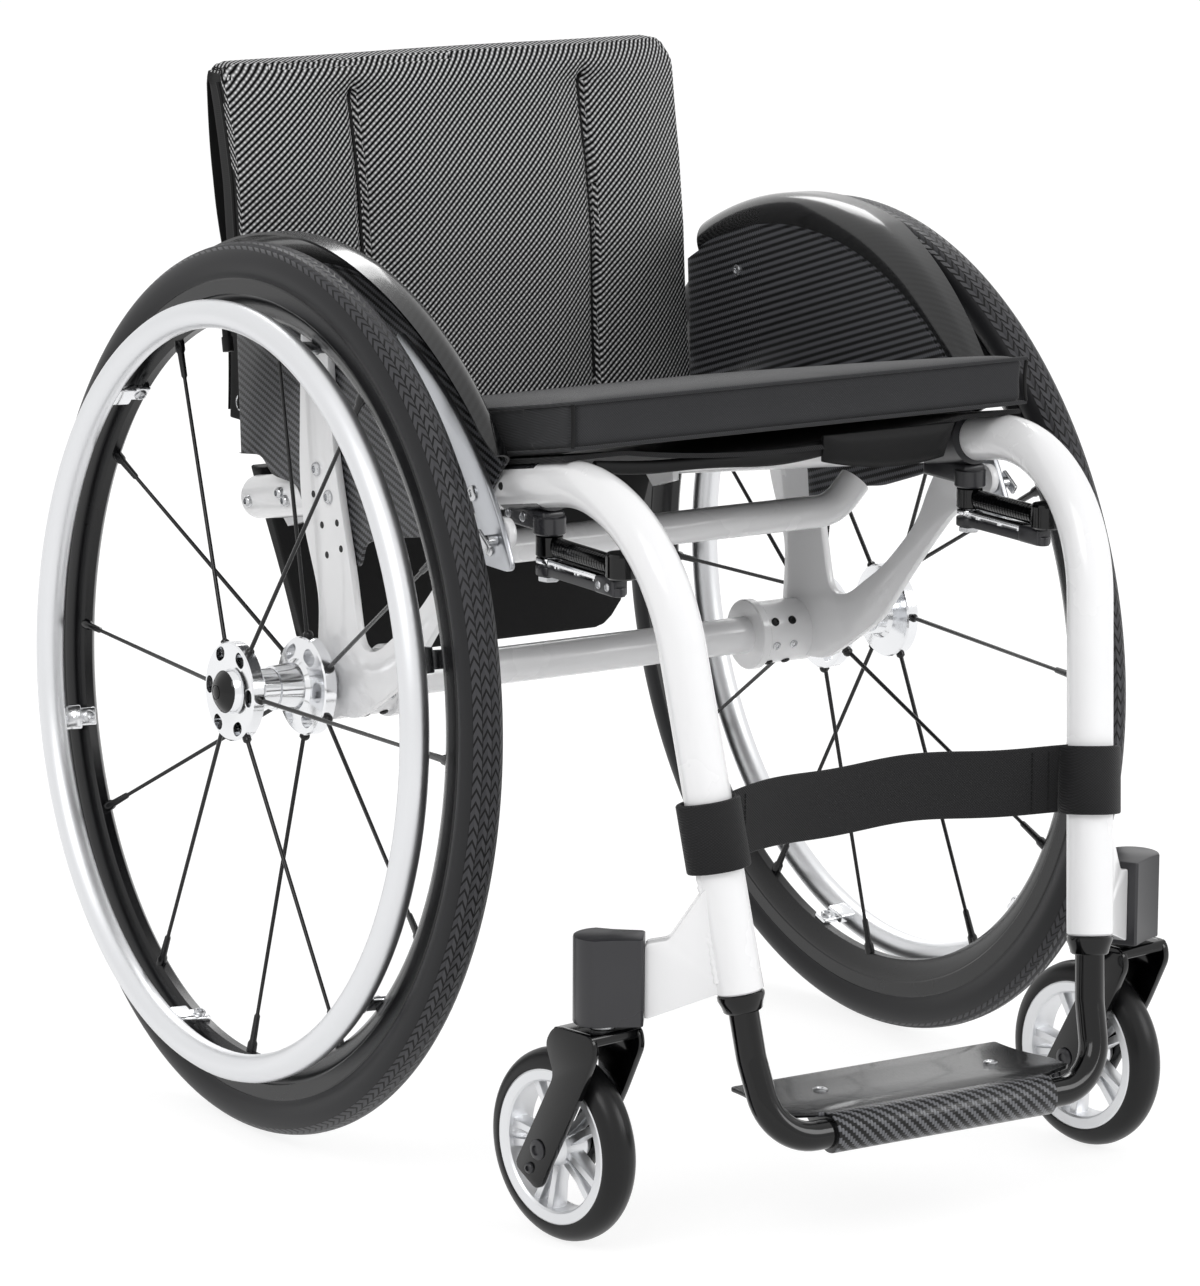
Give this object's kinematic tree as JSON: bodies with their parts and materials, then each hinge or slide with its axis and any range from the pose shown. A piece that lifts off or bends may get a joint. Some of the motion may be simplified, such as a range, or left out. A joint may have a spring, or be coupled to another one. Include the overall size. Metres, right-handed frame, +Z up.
{
  "type": "rigid wheelchair",
  "caption": "Active wheelchair: fixed bent-tube frame, cambered spoked rear wheels with push rims, casters, side guards, brakes, footplate, folding padded back.",
  "frame": {"origin": "on the floor at the middle of the footprint", "axes": "+X to the rider's left along the axle, -Y forward, +Z up"},
  "size_m": [0.5824, 0.7488, 0.6961],
  "materials": {
    "white_enamel": "gloss white enamel",
    "black_anodised": "satin black anodised",
    "satin_aluminium": "satin anodised",
    "polished_aluminium": "polished",
    "carbon_laminate": "clear-coated carbon twill",
    "tyre_rubber": "matt black rubber",
    "black_enamel": "gloss black enamel",
    "black_webbing": "black nylon webbing",
    "dark_fabric": "dark grey woven cover",
    "spacer_mesh": "black and grey spacer mesh"
  },
  "bodies": {
    "frame": {"frame_tube_left": "white_enamel", "frame_tube_right": "white_enamel", "caster_gusset_left": "white_enamel", "caster_gusset_right": "white_enamel", "caster_housing_left": "black_anodised", "caster_housing_right": "black_anodised", "side_plate_left": "white_enamel", "side_plate_right": "white_enamel", "axle_receiver_left": "satin_aluminium", "axle_receiver_right": "satin_aluminium", "side_guard_left": "carbon_laminate", "side_guard_right": "carbon_laminate", "guard_stay_left": "satin_aluminium", "guard_stay_right": "satin_aluminium", "quick_release_axle_left": "black_anodised", "quick_release_axle_right": "black_anodised", "footrest_collar_left": "black_enamel", "footrest_collar_right": "black_enamel", "back_bracket_left": "white_enamel", "back_bracket_right": "white_enamel", "brake_clamp_left": "black_anodised", "brake_clamp_right": "black_anodised", "axle_tube": "white_enamel", "seat_cross_tube": "white_enamel", "footrest_tube": "black_enamel", "footplate": "carbon_laminate", "calf_strap": "black_webbing", "seat_sling": "black_webbing", "seat_cushion": "dark_fabric", "under_seat_bag": "black_webbing"},
    "rear_wheel_left": {"rear_tyre_left": "tyre_rubber", "rear_rim_left": "black_anodised", "push_rim_left": "satin_aluminium", "rear_hub_left": "polished_aluminium"},
    "release_button_left": {"quick_release_button_left": "satin_aluminium"},
    "caster_left": {"caster_stem_left": "satin_aluminium", "caster_fork_left": "black_anodised", "caster_axle_left": "satin_aluminium"},
    "caster_wheel_left": {"caster_rim_left": "polished_aluminium", "caster_tyre_left": "tyre_rubber"},
    "brake_lever_left": {"brake_lever_left": "black_anodised"},
    "brake_arm_left": {"brake_arm_left": "black_anodised"},
    "rear_wheel_right": {"rear_tyre_right": "tyre_rubber", "rear_rim_right": "black_anodised", "push_rim_right": "satin_aluminium", "rear_hub_right": "polished_aluminium"},
    "release_button_right": {"quick_release_button_right": "satin_aluminium"},
    "caster_right": {"caster_stem_right": "satin_aluminium", "caster_fork_right": "black_anodised", "caster_axle_right": "satin_aluminium"},
    "caster_wheel_right": {"caster_rim_right": "polished_aluminium", "caster_tyre_right": "tyre_rubber"},
    "brake_lever_right": {"brake_lever_right": "black_anodised"},
    "brake_arm_right": {"brake_arm_right": "black_anodised"},
    "back": {"back_cane_left": "black_anodised", "back_cane_right": "black_anodised", "back_bar": "black_anodised", "back_upholstery": "spacer_mesh"}
  },
  "joints": [
    {"name": "rear_wheel_spin_left", "type": "hinge", "parent": "frame", "child": "rear_wheel_left", "pos_m": [0.24239, 0.0784, 0.29596], "axis": [0.999, 0, 0.0436], "continuous": true},
    {"name": "release_button_press_left", "type": "slide", "parent": "frame", "child": "release_button_left", "axis": [-0.999, 0, -0.0436], "range_m": [0, 0.0028], "stiffness_N_per_m": 1200},
    {"name": "caster_swivel_left", "type": "hinge", "parent": "frame", "child": "caster_left", "pos_m": [0.204, -0.2871, 0.149], "axis": [0, 0, 1], "continuous": true},
    {"name": "caster_wheel_spin_left", "type": "hinge", "parent": "caster_left", "child": "caster_wheel_left", "pos_m": [0.19837, -0.25154, 0.0621], "axis": [0.9877, 0.1564, 0], "continuous": true},
    {"name": "brake_lever_swing_left", "type": "hinge", "parent": "frame", "child": "brake_lever_left", "pos_m": [0.163, -0.1566, 0.41105], "axis": [0, 0, 1], "range_deg": [0, 40]},
    {"name": "brake_arm_swing_left", "type": "hinge", "parent": "frame", "child": "brake_arm_left", "pos_m": [0.163, -0.1566, 0.42435], "axis": [0, 0, 1], "range_deg": [0, 56]},
    {"name": "rear_wheel_spin_right", "type": "hinge", "parent": "frame", "child": "rear_wheel_right", "pos_m": [-0.24239, 0.0784, 0.29596], "axis": [-0.999, 0, 0.0436], "continuous": true},
    {"name": "release_button_press_right", "type": "slide", "parent": "frame", "child": "release_button_right", "axis": [0.999, 0, -0.0436], "range_m": [0, 0.0028], "stiffness_N_per_m": 1200},
    {"name": "caster_swivel_right", "type": "hinge", "parent": "frame", "child": "caster_right", "pos_m": [-0.204, -0.2871, 0.149], "axis": [0, 0, 1], "continuous": true},
    {"name": "caster_wheel_spin_right", "type": "hinge", "parent": "caster_right", "child": "caster_wheel_right", "pos_m": [-0.20963, -0.25154, 0.0621], "axis": [0.9877, 0.1564, 0], "continuous": true},
    {"name": "brake_lever_swing_right", "type": "hinge", "parent": "frame", "child": "brake_lever_right", "pos_m": [-0.163, -0.1566, 0.41105], "axis": [0, 0, -1], "range_deg": [0, 40]},
    {"name": "brake_arm_swing_right", "type": "hinge", "parent": "frame", "child": "brake_arm_right", "pos_m": [-0.163, -0.1566, 0.42435], "axis": [0, 0, -1], "range_deg": [0, 56]},
    {"name": "back_fold", "type": "hinge", "parent": "frame", "child": "back", "pos_m": [0, 0.2184, 0.46204], "axis": [1, 0, 0], "range_deg": [0, 60]}
  ],
  "couplings": [
    {"joint": "brake_arm_swing_left", "follows": "brake_lever_swing_left", "ratio": 1.4},
    {"joint": "brake_arm_swing_right", "follows": "brake_lever_swing_right", "ratio": 1.4}
  ]
}
